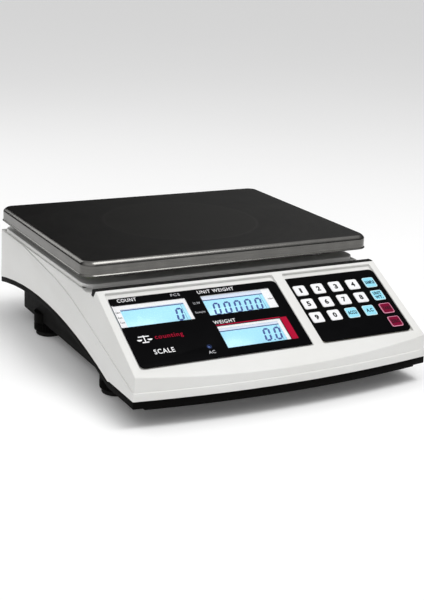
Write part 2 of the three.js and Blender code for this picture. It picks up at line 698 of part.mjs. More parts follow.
function rearInsert({ x, z, width, height, depth, flangeX, flangeZ }) {
  const face = REAR_Y;
  const slab = (sizeX, sizeZ, y0, y1) => {
    return box(x - sizeX / 2, x + sizeX / 2, y0, y1, z - sizeZ / 2, z + sizeZ / 2);
  };
  return join(slab(width, height, face - depth, face + 1), slab(flangeX, flangeZ, face + GAP, face + 2));
}

function mainsInlet() {
  const { x, z } = INLET;
  const cavity = box(x - 11.6, x + 11.6, REAR_Y - 14, REAR_Y + 5, z - 7.9, z + 7.9);
  let inlet = rearInsert(INLET).subtract(cavity);
  for (const [dx, dz] of [[-7, -2.5], [0, 2.5], [7, -2.5]]) {
    inlet = join(inlet, box(x + dx - 1, x + dx + 1, REAR_Y - 15, REAR_Y - 5, z + dz - 2, z + dz + 2));
  }
  return inlet;
}

function switchBody() {
  const { x, z } = SWITCH;
  return rearInsert(SWITCH).subtract(box(x - 5.2, x + 5.2, REAR_Y - 8, REAR_Y + 5, z - 8.4, z + 8.4));
}

// Rocker with a shallow V of a face, hung on a pivot inside the switch body.
function powerRocker() {
  const low = SWITCH.z - ROCKER.half;
  const high = SWITCH.z + ROCKER.half;
  const profile = [
    [REAR_Y - 5.6, SWITCH.z], [REAR_Y - 3.6, low], [REAR_Y + ROCKER.proud, low],
    [REAR_Y + 1.4, SWITCH.z], [REAR_Y + 0.2, high], [REAR_Y - 4.4, high],
  ].reverse();
  const solid = acrossX(profile, ROCKER.width / 2);
  return fromManifold(solid).translate(SWITCH.x, 0, 0);
}

addElectrics();
addNode("mains_inlet", fromManifold(mainsInlet()), "blackAbs");
addNode("power_switch_body", fromManifold(switchBody()), "blackAbs");
addNode("power_rocker", powerRocker(), "blackAbs");
const vialZ = PLATEAU.topZ + GAP;
const vial = cylinder(LEVEL.x, LEVEL.y, LEVEL.radius, vialZ, vialZ + LEVEL.height, 24);
addNode("bubble_level", fromManifold(vial), "vial");

// ---------------------------------------------------------------- feet
function footWheel() {
  const wheelZ = FOOT.padHeight + GAP;
  const topZ = FOOT.bossZ - GAP;
  const profile = [
    [0, wheelZ], [FOOT.wheel - 1.2, wheelZ], [FOOT.wheel, wheelZ + 1.2], [FOOT.wheel, topZ - 0.8],
    [FOOT.wheel - 0.8, topZ], [STUD.radius, topZ], [STUD.radius, STUD.topZ], [0, STUD.topZ],
  ];
  return new THREE.LatheGeometry(profile.map(([r, z]) => new THREE.Vector2(r, z)), 20).rotateX(Math.PI / 2);
}

function footPad() {
  const profile = [
    [0, 0], [FOOT.pad - 1.4, 0], [FOOT.pad, 1.4], [FOOT.pad, FOOT.padHeight], [0, FOOT.padHeight],
  ];
  return new THREE.LatheGeometry(profile.map(([r, z]) => new THREE.Vector2(r, z)), 20).rotateX(Math.PI / 2);
}

for (const [place, x, y] of footPlaces()) {
  addNode(`foot_wheel_${place}`, footWheel(), "blackAbs").position.set(x, y, 0);
  addNode(`foot_pad_${place}`, footPad(), "rubber").position.set(x, y, 0);
}

export default group;
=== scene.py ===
"""Looks of a bench-top counting scale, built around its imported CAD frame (metres, +Z up)."""
import json
import math
from contextlib import contextmanager

import bmesh
import bpy
from mathutils import Matrix, Vector

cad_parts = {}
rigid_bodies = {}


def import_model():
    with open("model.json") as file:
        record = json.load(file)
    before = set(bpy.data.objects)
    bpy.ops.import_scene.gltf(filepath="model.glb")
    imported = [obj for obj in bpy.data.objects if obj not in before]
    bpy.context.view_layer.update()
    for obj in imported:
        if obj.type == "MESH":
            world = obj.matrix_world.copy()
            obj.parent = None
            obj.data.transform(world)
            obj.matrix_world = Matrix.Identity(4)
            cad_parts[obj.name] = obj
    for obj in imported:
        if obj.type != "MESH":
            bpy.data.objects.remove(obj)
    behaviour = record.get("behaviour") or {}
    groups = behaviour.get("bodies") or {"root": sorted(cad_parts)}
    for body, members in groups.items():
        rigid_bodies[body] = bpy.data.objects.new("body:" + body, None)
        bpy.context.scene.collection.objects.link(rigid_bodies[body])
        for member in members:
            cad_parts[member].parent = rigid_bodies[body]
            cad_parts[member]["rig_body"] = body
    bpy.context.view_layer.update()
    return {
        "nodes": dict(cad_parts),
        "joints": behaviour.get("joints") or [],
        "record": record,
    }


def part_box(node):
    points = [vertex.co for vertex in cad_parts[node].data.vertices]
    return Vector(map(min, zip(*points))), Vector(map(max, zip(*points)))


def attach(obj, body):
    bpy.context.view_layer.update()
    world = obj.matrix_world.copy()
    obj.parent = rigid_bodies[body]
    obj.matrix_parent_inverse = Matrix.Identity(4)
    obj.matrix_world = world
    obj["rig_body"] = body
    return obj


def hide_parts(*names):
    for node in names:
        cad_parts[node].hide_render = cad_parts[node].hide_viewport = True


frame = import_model()

MM = 0.001
scene = bpy.context.scene
scene.view_settings.view_transform = "Standard"


# ------------------------------------------------------------------ camera
def make_camera():
    """Looks down on the scale from the front left, with a slight roll."""
    azimuth, elevation, roll = (math.radians(a) for a in (-28.512, 17.528, 2.396))
    spot = (-0.529628, -0.997327, 0.403426)
    back = Vector((
        math.sin(azimuth) * math.cos(elevation),
        -math.cos(azimuth) * math.cos(elevation),
        math.sin(elevation),
    ))
    level = Vector((math.cos(azimuth), math.sin(azimuth), 0))
    right = math.cos(roll) * level + math.sin(roll) * back.cross(level)
    data = bpy.data.cameras.new("camera")
    data.lens = 71.373
    camera = bpy.data.objects.new("camera", data)
    turn = Matrix((right, back.cross(right), back)).transposed().to_4x4()
    camera.matrix_world = Matrix.Translation(spot) @ turn
    scene.collection.objects.link(camera)
    scene.camera = camera


make_camera()


# ------------------------------------------------------------------ material building blocks
NOISE_LOW, NOISE_HIGH = 0.3, 0.7  # the range that noise values mostly keep to


class Look:
    """One node material round a Principled shader, with textures in the object's own metres."""

    def __init__(self, name, color, roughness, metallic=0.0):
        self.material = bpy.data.materials.new(name)
        self.material.use_nodes = True
        self.tree = self.material.node_tree
        self.shader = self.tree.nodes["Principled BSDF"]
        self.shader.inputs["Base Color"].default_value = (*color, 1)
        self.shader.inputs["Roughness"].default_value = roughness
        self.shader.inputs["Metallic"].default_value = metallic
        self.color, self.roughness = color, roughness
        self.normal = None
        self.coords = self.node("TexCoord").outputs["Object"]

    def node(self, kind, **inputs):
        made = self.tree.nodes.new("ShaderNode" + kind)
        for key, value in inputs.items():
            made.inputs[key.replace("_", " ")].default_value = value
        return made

    def link(self, source, target):
        self.tree.links.new(source, target)

    def set(self, **inputs):
        for key, value in inputs.items():
            self.shader.inputs[key.replace("_", " ")].default_value = value
        return self

    def dulled(self, level):
        """Sets how strongly the surface reflects; 0.5 is ordinary plastic."""
        return self.set(Specular_IOR_Level=level)

    def stretched(self, scale, offset=(0, 0, 0)):
        mapping = self.node("Mapping", Scale=scale, Location=offset)
        self.link(self.coords, mapping.inputs["Vector"])
        return mapping.outputs["Vector"]

    def noise(self, scale, detail, stretch=None, rough=0.5):
        made = self.node("TexNoise", Scale=scale, Detail=detail, Roughness=rough)
        self.link(self.stretched(stretch) if stretch else self.coords, made.inputs["Vector"])
        return made.outputs["Fac"]

    def ranged(self, value, low, high, from_low=NOISE_LOW, from_high=NOISE_HIGH):
        made = self.node("MapRange")
        for index, number in enumerate((from_low, from_high, low, high), 1):
            made.inputs[index].default_value = number
        self.link(value, made.inputs[0])
        return made.outputs[0]

    def mixed(self, factor, first, second):
        """The first colour, or colour socket, turning into the second as the factor rises."""
        made = self.node("Mix")
        made.data_type = "RGBA"
        factor_in, first_in, second_in = (made.inputs[i] for i in (0, 6, 7))  # the RGBA sockets
        self.link(factor, factor_in)
        if isinstance(first, tuple):
            first_in.default_value = (*first, 1)
        else:
            self.link(first, first_in)
        second_in.default_value = (*second, 1)
        return made.outputs[2]

    def bump(self, value, distance, strength):
        """Adds one more layer of relief over those already there."""
        made = self.node("Bump", Strength=strength, Distance=distance)
        self.link(value, made.inputs["Height"])
        if self.normal:
            self.link(self.normal, made.inputs["Normal"])
        self.normal = made.outputs["Normal"]
        self.link(self.normal, self.shader.inputs["Normal"])
        return self

    def colour_from(self, factor, other, low=NOISE_LOW, high=NOISE_HIGH):
        """Lets the other colour in where the factor goes from low to high."""
        socket = self.shader.inputs["Base Color"]
        first = socket.links[0].from_socket if socket.is_linked else self.color
        self.link(self.mixed(self.ranged(factor, 0, 1, low, high), first, other), socket)
        return self

    def roughness_from(self, factor, spread):
        value = self.ranged(factor, self.roughness - spread, self.roughness + spread)
        self.link(value, self.shader.inputs["Roughness"])
        return self


def moulded(name, color, roughness, tint, grain=0.02 * MM, scale=1600, wear=None, gloss=0.3):
    """Moulded plastic: spark-eroded grain, faint flow blotches, uneven gloss, rubbed spots."""
    look = Look(name, color, roughness).dulled(gloss)
    look.bump(look.noise(scale, 2), grain, 0.6)
    look.bump(look.noise(scale / 9, 3), grain * 2, 0.25)
    look.colour_from(look.noise(9, 4, rough=0.6), tint, 0.35, 0.75)
    if wear:
        look.colour_from(look.noise(130, 6, rough=0.75), wear, 0.62, 0.78)
    return look.roughness_from(look.noise(38, 5, rough=0.7), 0.07).material


def printed(name, color, roughness, tint, gloss=0.1):
    """Printed film: faint orange peel, slightly uneven ink and gloss."""
    look = Look(name, color, roughness).dulled(gloss)
    look.bump(look.noise(900, 3), 0.01 * MM, 0.5)
    look.colour_from(look.noise(60, 5), tint)
    return look.roughness_from(look.noise(45, 5, rough=0.7), 0.05).material


def brushed(name, color, roughness, stretch, tint):
    """Brushed metal: long streaks along one way, uneven in colour and gloss."""
    look = Look(name, color, roughness, 1.0)
    streaks = look.noise(60, 6, stretch=stretch, rough=0.8)
    look.bump(streaks, 0.006 * MM, 0.5)
    look.colour_from(look.noise(14, 5, rough=0.6), tint)
    return look.roughness_from(streaks, 0.06).material


WHITE = moulded("white_abs", (0.80, 0.80, 0.785), 0.42, (0.77, 0.765, 0.74), wear=(0.72, 0.71, 0.68))
BLACK = moulded("black_abs", (0.0022, 0.002, 0.0018), 0.55, (0.0036, 0.0033, 0.003), 0.04 * MM, 1100,
                wear=(0.008, 0.0075, 0.007), gloss=0.03)
RUBBER = moulded("rubber", (0.011, 0.011, 0.011), 0.8, (0.018, 0.018, 0.017), 0.05 * MM, 700,
                 wear=(0.035, 0.034, 0.032), gloss=0.1)
BATTERY = moulded("battery_case", (0.03, 0.03, 0.034), 0.5, (0.04, 0.04, 0.045))
CORE = moulded("laminated_core", (0.16, 0.1, 0.07), 0.55, (0.1, 0.07, 0.05))

FILM = printed("overlay_film", (0.0013, 0.0013, 0.0016), 0.4, (0.0022, 0.0022, 0.0027), 0.015)
INK_WHITE = printed("ink_white", (0.93, 0.93, 0.94), 0.42, (0.88, 0.88, 0.9))
INK_PALE = printed("ink_pale", (0.62, 0.62, 0.65), 0.45, (0.54, 0.54, 0.58))
INK_DARK = printed("ink_dark", (0.004, 0.004, 0.005), 0.45, (0.008, 0.008, 0.01))
INK_BLUE = printed("ink_blue", (0.002, 0.01, 0.035), 0.45, (0.003, 0.015, 0.05))
INK_NAVY = printed("ink_navy", (0.01, 0.022, 0.075), 0.45, (0.013, 0.028, 0.09))
INK_WINE = printed("ink_wine", (0.02, 0.0, 0.006), 0.45, (0.03, 0.001, 0.009))
CRIMSON = printed("ink_crimson", (0.45, 0.0018, 0.034), 0.4, (0.4, 0.0015, 0.028), 0.05)
KEY_WHITE = printed("key_white", (0.93, 0.93, 0.94), 0.4, (0.88, 0.88, 0.9))
KEY_BLUE = printed("key_blue", (0.33, 0.78, 0.93), 0.4, (0.29, 0.72, 0.89))
KEY_BLUE_EDGE = printed("key_blue_edge", (0.66, 0.9, 0.96), 0.4, (0.6, 0.87, 0.94))
KEY_RED = printed("key_red", (0.2, 0.0015, 0.03), 0.4, (0.16, 0.0015, 0.025), 0.04)
KEY_RED_EDGE = printed("key_red_edge", (0.78, 0.3, 0.44), 0.4, (0.72, 0.26, 0.39))
# painted shade: the pale band and the dark line below it stand in for the bezel's shadow along the top of
# each LCD; the dark line's colour also draws a thin line near the glass's right edge
LCD_SHADE_BAND = printed("lcd_shade_band", (0.72, 0.79, 0.92), 0.3, (0.68, 0.76, 0.9))
LCD_SHADE_AND_EDGE_LINE = printed("lcd_shade_and_edge_line", (0.012, 0.06, 0.24), 0.3, (0.016, 0.075, 0.27))
LCD_INK = printed("lcd_ink", (0.006, 0.05, 0.26), 0.3, (0.009, 0.062, 0.3))
LED = printed("led_lens", (0.03, 0.07, 0.24), 0.2, (0.04, 0.085, 0.28), 0.3)
VIAL = printed("vial_liquid", (0.3, 0.5, 0.05), 0.1, (0.34, 0.55, 0.07))
BOARD = printed("solder_mask", (0.02, 0.13, 0.05), 0.4, (0.03, 0.17, 0.07))
CIRCUIT = printed("switch_film", (0.5, 0.42, 0.22), 0.4, (0.42, 0.35, 0.2))

ZINC = brushed("zinc_steel", (0.5, 0.5, 0.49), 0.4, (1, 1, 12), (0.42, 0.42, 0.43))
ALLOY = brushed("cast_alloy", (0.6, 0.61, 0.62), 0.48, (1, 9, 1), (0.52, 0.52, 0.53))


def pan_steel():
    """Stainless sheet: faint polishing rings, hairline scratches, and a round mark in the middle."""
    look = Look("pan_steel", (0.152, 0.148, 0.139), 0.24, 1.0)
    centre = sum(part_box("pan"), Vector()) / 2
    rings = look.node("TexWave", Scale=26.0, Distortion=2.2, Detail=4.0, Detail_Scale=1.6)
    rings.wave_type, rings.rings_direction = "RINGS", "Z"
    look.link(look.stretched((1, 1, 1), tuple(-centre)), rings.inputs["Vector"])
    skirt_lines = look.noise(900, 4, stretch=(0.04, 0.04, 1), rough=0.7)
    look.bump(look.noise(420, 5, stretch=(1, 0.05, 1), rough=0.7), 0.004 * MM, 0.3)
    look.bump(skirt_lines, 0.006 * MM, 0.5)
    look.bump(look.noise(2600, 2), 0.003 * MM, 0.4)
    look.bump(rings.outputs["Fac"], 0.01 * MM, 0.1)
    look.colour_from(rings.outputs["Fac"], (0.17, 0.166, 0.156), 0.1, 0.9)
    look.colour_from(skirt_lines, (0.12, 0.118, 0.113))
    mark = look.node("TexGradient")  # 0 outside the mark's rim, rising to 1 at its centre
    mark.gradient_type = "SPHERICAL"
    radius = 80 * MM
    look.link(look.stretched([1 / radius] * 3, tuple(-centre / radius)), mark.inputs["Vector"])
    rim, inside = 0.02, 0.05
    look.colour_from(mark.outputs["Fac"], (0.215, 0.209, 0.196), 0.0, rim)
    look.colour_from(mark.outputs["Fac"], (0.156, 0.152, 0.142), rim, inside)
    return look.roughness_from(look.noise(30, 4, rough=0.6), 0.012).material


def lcd_face():
    """Backlit display glass: pale cyan, slightly uneven."""
    look = Look("lcd_face", (0.3, 0.67, 0.88), 0.25)
    look.colour_from(look.noise(18, 2), (0.36, 0.76, 0.93))
    look.bump(look.noise(2400, 2), 0.004 * MM, 0.3)
    look.roughness_from(look.noise(90, 3), 0.04)
    return look.set(Emission_Color=(0.32, 0.72, 0.92, 1), Emission_Strength=0.12).material


def clear_pane():
    """Clear acrylic window."""
    look = Look("clear_pane", (0.95, 0.97, 0.98), 0.08)
    look.roughness_from(look.noise(60, 5, rough=0.7), 0.03)
    look.bump(look.noise(500, 2), 0.004 * MM, 0.2)
    return look.set(Alpha=0.035).material


PAN = pan_steel()
LCD = lcd_face()
PANE = clear_pane()


# ------------------------------------------------------------------ meshes
@contextmanager
def editing(mesh, source=None):
    """A bmesh that starts as the source, or as the mesh itself, and is written to the mesh."""
    work = bmesh.new()
    work.from_mesh(source or mesh)
    yield work
    work.to_mesh(mesh)
    work.free()


def evaluated(data, add_modifiers=lambda helper: None):
    """The final mesh of a mesh, curve or text, once its modifiers are applied."""
    helper = bpy.data.objects.new("helper", data)
    scene.collection.objects.link(helper)
    add_modifiers(helper)
    mesh = bpy.data.meshes.new_from_object(helper.evaluated_get(bpy.context.evaluated_depsgraph_get()))
    bpy.data.objects.remove(helper)
    return mesh


def smooth_by_angle(mesh, degrees=35):
    """Rounds the shading everywhere but at edges sharper than that angle."""
    for polygon in mesh.polygons:
        polygon.use_smooth = True
    with editing(mesh) as work:
        for edge in work.edges:
            edge.smooth = len(edge.link_faces) == 2 and edge.calc_face_angle(0) < math.radians(degrees)
    return mesh


def weigh_edges(mesh, share):
    """Marks each sharp edge with the share of the full bevel width that it gets."""
    sharp = math.radians(28)
    with editing(mesh) as work:
        layer = work.edges.layers.float.new("bevel_weight_edge")
        for edge in work.edges:
            if len(edge.link_faces) == 2 and edge.calc_face_angle(0) > sharp:
                edge[layer] = share(edge)


def rounded(mesh, width, segments=2, share=lambda edge: 1.0, clamp=True):
    """The mesh with its sharp edges rounded by a bevel of that width."""
    def add_bevel(helper):
        bevel = helper.modifiers.new("bevel", "BEVEL")
        bevel.width, bevel.segments, bevel.limit_method = width, segments, "WEIGHT"
        bevel.miter_outer = "MITER_ARC"
        bevel.use_clamp_overlap = clamp

    weigh_edges(mesh, share)
    return smooth_by_angle(evaluated(mesh, add_bevel))


def node_mesh(node):
    """A CAD node's mesh with doubled points welded and flat areas merged into whole faces."""
    weld, flat = 0.002 * MM, math.radians(0.4)
    mesh = bpy.data.meshes.new(node)
    with editing(mesh, frame["nodes"][node].data) as work:
        bmesh.ops.remove_doubles(work, verts=work.verts, dist=weld)
        bmesh.ops.dissolve_limit(work, angle_limit=flat, verts=work.verts, edges=work.edges)
    return mesh


def ring_mesh(name, rings):
    """A closed skin through rings of points, all of one length, capped at both ends."""
    mesh = bpy.data.meshes.new(name)
    with editing(mesh) as work:
        loops = [[work.verts.new(p) for p in ring] for ring in rings]
        for low, high in zip(loops, loops[1:]):
            for i in range(len(low)):
                j = (i + 1) % len(low)
                work.faces.new((low[i], low[j], high[j], high[i]))
        work.faces.new(loops[0][::-1])
        work.faces.new(loops[-1])
        bmesh.ops.recalc_face_normals(work, faces=work.faces)
    return mesh


def circle(x, y, radius, sides):
    turns = [2 * math.pi * i / sides for i in range(sides)]
    return [(x + radius * math.cos(a), y + radius * math.sin(a)) for a in turns]


def rounded_outline(x0, x1, y0, y1, radii, segments=10):
    """Points round a rectangle, anticlockwise; radii are for the corners br, tr, tl, bl."""
    corners = [(x1, y0, 1, -1), (x1, y1, 1, 1), (x0, y1, -1, 1), (x0, y0, -1, -1)]
    points = []
    for turn, ((x, y, sx, sy), radius) in enumerate(zip(corners, radii)):
        for i in range(segments + 1 if radius else 1):
            angle = (turn - 1 + i / segments) * math.pi / 2
            points.append((
                x - sx * radius + radius * math.cos(angle),
                y - sy * radius + radius * math.sin(angle),
            ))
    return points


def flat_plate(name, outlines, z0, z1, bevel=0.0):
    """A plate with holes, from 2-D outlines in metres, its upper and lower edges rounded."""
    curve = bpy.data.curves.new(name, "CURVE")
    curve.dimensions, curve.fill_mode = "2D", "BOTH"
    curve.extrude = (z1 - z0) / 2 - bevel
    curve.bevel_depth, curve.bevel_resolution, curve.offset = bevel, 2, -bevel
    for outline in outlines:
        spline = curve.splines.new("POLY")
        spline.points.add(len(outline) - 1)
        for point, (x, y) in zip(spline.points, outline):
            point.co = (x, y, 0, 1)
        spline.use_cyclic_u = True
    mesh = evaluated(curve)
    with editing(mesh) as work:
        bmesh.ops.remove_doubles(work, verts=work.verts, dist=0.0001 * MM)
        bmesh.ops.translate(work, verts=work.verts, vec=(0, 0, (z0 + z1) / 2))
    return smooth_by_angle(mesh, 40)


def text_mesh(name, words, x0, x1, y, height, z0, z1, bold):
    """Raised lettering that fills x0..x1 and is height tall, centred on y."""
    curve = bpy.data.curves.new(name, "FONT")
    curve.body, curve.offset = words, bold
    curve.extrude = 0.01  # any thickness, because z0..z1 replaces it
    curve.space_character = 1.15
    curve.resolution_u = 3
    mesh = evaluated(curve)
    low = [min(v.co[k] for v in mesh.vertices) for k in range(3)]
    high = [max(v.co[k] for v in mesh.vertices) for k in range(3)]
    target = [(x0, x1), (y - height / 2, y + height / 2), (z0, z1)]
    for vertex in mesh.vertices:
        for k, (a, b) in enumerate(target):
            vertex.co[k] = a + (vertex.co[k] - low[k]) / (high[k] - low[k]) * (b - a)
    return mesh


def lathe(name, profile, x, y, sides, ribs=0, rib_depth=0.0):
    """A turned solid from (radius, z) points; ribs are cut into the points marked by a third value."""
    least = 0.01 * MM  # radius that stands for a point on the axis
    rings = []
    for radius, z, *marked in profile:
        ring = []
        for i in range(sides):
            angle = 2 * math.pi * i / sides
            dip = rib_depth * (0.5 - 0.5 * math.cos(ribs * angle)) ** 2 if marked else 0
            r = max(radius - dip, least)
            ring.append((x + r * math.cos(angle), y + r * math.sin(angle), z))
        rings.append(ring)
    return ring_mesh(name, rings)


# ------------------------------------------------------------------ pieces
SLOTS = {part["node"]: part["material_slot"] for part in frame["record"]["subparts"]}


def place(name, mesh, material, body, slot, *replaced):
    piece = bpy.data.objects.new(name, mesh)
    scene.collection.objects.link(piece)
    mesh.materials.clear()
    mesh.materials.append(material)
    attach(piece, body)
    if replaced:
        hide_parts(*replaced)


def refine(node, material, width, **options):
    """A copy of a CAD node with rounded edges, which takes its place."""
    mesh = rounded(node_mesh(node), width, **options)
    place(f"{node}_shell", mesh, material, frame["nodes"][node]["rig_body"], SLOTS[node], node)


def repaint(material, *nodes):
    for node in nodes:
        data = frame["nodes"][node].data
        data.materials.clear()
        data.materials.append(material)


# ------------------------------------------------------------------ console frame
def console_matrix():
    """Frame on the console's ridge: X across, Y up its slope, Z out of its face."""
    joint = next(j for j in frame["joints"] if j["name"] == "key_1_press")
    slope = math.atan2(joint["axis"][1], -joint["axis"][2])
    turn = Matrix.Rotation(slope, 4, "X")
    flat = [turn.inverted() @ v.co for v in frame["nodes"]["display_overlay"].data.vertices]
    overlay_top, overlay_depth = 10 * MM, 0.7 * MM  # where the film lies on the console
    ridge = Vector((0, max(p.y for p in flat) + overlay_top, max(p.z for p in flat) + overlay_depth))
    return turn @ Matrix.Translation(ridge)


CONSOLE = console_matrix()
CONSOLE_BACK = CONSOLE.inverted()


def on_console(mesh):
    mesh.transform(CONSOLE)
    return mesh


def console_box(node):
    """A CAD node's extents in the console frame."""
    points = [CONSOLE_BACK @ v.co for v in frame["nodes"][node].data.vertices]
    return [(min(p[k] for p in points), max(p[k] for p in points)) for k in range(3)]


# In the calls below, x is across and s is down from the ridge, both in millimetres.
FILM_TOP = console_box("display_overlay")[2][1]
GLASS_TOP = console_box("count_lcd")[2][1]
ON_PANE = console_box("count_window")[2][0] - 0.04 * MM  # print on the back of a window
PRINT = 0.06 * MM  # thickness given to ink
BITE = 0.01 * MM   # how deep ink starts inside what it is printed on


def console_text(name, words, x0, x1, s, height, material, bold=0.0, base=FILM_TOP, slot="overlay"):
    mesh = text_mesh(name, words, x0 * MM, x1 * MM, -s * MM, height * MM, base - BITE, base + PRINT, bold)
    place(name, on_console(mesh), material, "housing", slot)


def console_patch(name, x0, x1, s0, s1, material, base, slot, thickness=PRINT, hole=None, radius=0.0):
    outlines = [rounded_outline(x0 * MM, x1 * MM, -s1 * MM, -s0 * MM, [radius * MM] * 4, 6)]
    if hole:
        hx0, hx1, hs0, hs1 = (v * MM for v in hole)
        outlines.append(rounded_outline(hx0, hx1, -hs1, -hs0, [0] * 4))
    mesh = flat_plate(name, outlines, base, base + thickness)
    place(name, on_console(mesh), material, "housing", slot)


# ------------------------------------------------------------------ displays
DIGIT = {"width": 7.1, "height": 15.1, "bar": 1.95, "gap": 0.2, "slant": 0.165}
ZERO_BARS = [  # ends of each bar of a 0, in units of its width and height
    ((0, 1), (1, 1)), ((1, 1), (1, 0.5)), ((1, 0.5), (1, 0)),
    ((0, 0), (1, 0)), ((0, 0.5), (0, 0)), ((0, 1), (0, 0.5)),
]


def zero_outlines(x, s):
    """The six bars of a slanted 0 whose top left corner is at x and s."""
    width, height, bar, gap, slant = (DIGIT[k] for k in ("width", "height", "bar", "gap", "slant"))
    half = bar / 2
    outlines = []
    for ends in ZERO_BARS:
        a, b = (Vector((half + u * (width - bar), half + v * (height - bar))) for u, v in ends)
        along = (b - a).normalized()
        across = Vector((-along.y, along.x)) * half
        a, b = a + along * gap, b - along * gap
        tip = along * half
        hexagon = [a, a + tip + across, b - tip + across, b, b - tip - across, a + tip - across]
        slanted = [(x + p.x - (height - p.y) * slant, -s - height + p.y) for p in hexagon]
        outlines.append([(px * MM, py * MM) for px, py in slanted])
    return outlines


def dot_outline(x, s):
    """The square decimal point of a digit whose top is at s."""
    size = 1.3 * MM
    left, low = x * MM, -(s + DIGIT["height"]) * MM
    return [(left, low), (left + size, low), (left + size, low + size), (left, low + size)]


def display(name, glass, band, digits, dots=()):
    """One LCD: lit glass, painted shade of the bezel along its top (a pale band over a dark line), its digits
    and the printed surround.
    """
    x0, x1, s0, s1 = glass
    line_top, line_low = s0 + band, s0 + band + 1.1
    edge_x0, edge_x1, edge_margin = x1 - 3.2, x1 - 2.9, 1
    edge_s0, edge_s1 = line_top + edge_margin, s1 - edge_margin
    thin, middle, thick = 0.04 * MM, 0.05 * MM, 0.08 * MM  # relief of the layers on the glass
    place(f"{name}_glass", rounded(node_mesh(f"{name}_lcd"), 0.15 * MM), LCD, "housing", "lcd", f"{name}_lcd")
    # the band and the line are painted shade: the shadow of the bezel across the top of the glass
    console_patch(f"{name}_band", x0, x1, s0, line_top, LCD_SHADE_BAND, GLASS_TOP, "lcd", thin)
    console_patch(f"{name}_line", x0, x1, line_top, line_low, LCD_SHADE_AND_EDGE_LINE, GLASS_TOP, "lcd", middle)
    console_patch(f"{name}_edge", edge_x0, edge_x1, edge_s0, edge_s1, LCD_SHADE_AND_EDGE_LINE, GLASS_TOP, "lcd", thin)
    outlines = [bar for x, s in digits for bar in zero_outlines(x, s)] + [dot_outline(x, s) for x, s in dots]
    mesh = flat_plate(f"{name}_digits", outlines, GLASS_TOP, GLASS_TOP + thick)
    place(f"{name}_digits", on_console(mesh), LCD_INK, "housing", "lcd")
    surround(name, glass)
    repaint(PANE, f"{name}_window")


def surround(name, glass):
    """The white print behind a window, which leaves the lit glass open."""
    (x0, x1), (y0, y1), (back, _) = console_box(f"{name}_window")
    reach = 1.2  # millimetres past the window's edge
    thickness, gap = 0.1 * MM, 0.02 * MM
    edges = (x0 / MM - reach, x1 / MM + reach, -y1 / MM - reach, -y0 / MM + reach)
    base = back - gap - thickness
    console_patch(f"{name}_surround", *edges, INK_WHITE, base, "clear", thickness, hole=glass)


UNIT_DIGITS = [(x, 27.8) for x in (-44.2, -33.4, -22.7, -11.9, -1.2)]
display("count", (-132.4, -71.4, 23.0, 44.2), 0.6, [(-81.7, 28.5)])
display("unit_weight", (-52.2, 9.6, 19.0, 42.8), 4.2, UNIT_DIGITS, [(-38.3, 27.8)])
display("weight", (-51.8, 8.6, 59.0, 82.0), 2.6, [(-10.2, 65.0), (0.8, 65.0)], [(-3.9, 65.0)])


# ------------------------------------------------------------------ films and print
def led_place():
    """Centre, radius and top of the status light, in the console frame."""
    (x0, x1), (y0, y1), (_, top) = console_box("charge_led")
    return (x0 + x1) / 2, (y0 + y1) / 2, (x1 - x0) / 2, top


LED_X, LED_Y, LED_RADIUS, LED_TOP = led_place()


def overlay_piece(node, radii, holes):
    (x0, x1), (y0, y1), (z0, z1) = console_box(node)
    outline = rounded_outline(x0, x1, y0, y1, [r * MM for r in radii])
    rounding = 0.12 * MM
    mesh = flat_plate(f"{node}_film", [outline] + holes, z0, z1, rounding)
    place(f"{node}_film", on_console(mesh), FILM, "housing", "overlay", node)


def hole_round(node, gap, radius=0.0):
    """The outline of a node as a hole, with a gap all round."""
    (x0, x1), (y0, y1), _ = console_box(node)
    return rounded_outline(x0 - gap, x1 + gap, y0 - gap, y1 + gap, [radius] * 4, 8)


WINDOW_HOLES = [hole_round(f"{name}_window", 0.05 * MM) for name in ("count", "unit_weight", "weight")]
LED_HOLE = circle(LED_X, LED_Y, LED_RADIUS + 0.1 * MM, 32)
overlay_piece("display_overlay", (0.4, 5, 0.4, 5), WINDOW_HOLES + [LED_HOLE])


def white_margin():
    """The white print of the count window carried on to the film's left edge."""
    film_edge = 0.15
    left = console_box("display_overlay")[0][0] / MM + film_edge
    (x0, _), (y0, y1), _ = console_box("count_window")
    base = FILM_TOP - PRINT / 2
    console_patch("count_margin", left, x0 / MM, -y1 / MM, -y0 / MM, INK_WHITE, base, "overlay")


white_margin()

FILM_LABELS = [  # piece, words, x from and to, s, height, ink, widening of each stroke
    ("label_count", "COUNT", -131.6, -113.4, 13.4, 4.0, INK_WHITE, 0.008),
    ("label_pcs", "PCS", -80, -71, 13.8, 3.0, INK_PALE, 0.0),
    ("label_unit_weight", "UNIT WEIGHT", -53.4, -16.2, 14.1, 4.0, INK_WHITE, 0.008),
    ("label_weight", "WEIGHT", -53.4, -31.4, 51.9, 4.1, INK_WHITE, 0.008),
    ("label_uw", "U.W", -62.6, -55.8, 26.6, 2.7, INK_PALE, 0.0),
    ("label_sample", "Sample", -65.2, -55.4, 37.9, 2.9, INK_PALE, 0.0),
    ("label_ac", "AC", -72.3, -65.7, 84.3, 3.4, INK_PALE, 0.01),
]
PANE_LABELS = [
    ("status_word_1", "Zero", -137.6, -133.0, 26.0, 2.2, INK_DARK, 0.02),
    ("status_word_2", "Acc.", -137.6, -133.0, 32.1, 2.2, INK_DARK, 0.02),
    ("status_word_3", "Tare", -137.6, -133.0, 37.9, 2.2, INK_DARK, 0.02),
    ("label_g", "g/pc", 12.4, 17.9, 31.2, 2.6, INK_DARK, 0.02),
]
for label in FILM_LABELS:
    console_text(*label)
for label in PANE_LABELS:
    console_text(*label, ON_PANE, "clear")

console_patch("crimson_bar", 12.7, 19.4, 55.6, 82.6, CRIMSON, FILM_TOP, "overlay", radius=0.6)
console_patch("crimson_line", -52.4, 12.9, 54.9, 55.9, CRIMSON, FILM_TOP, "overlay")


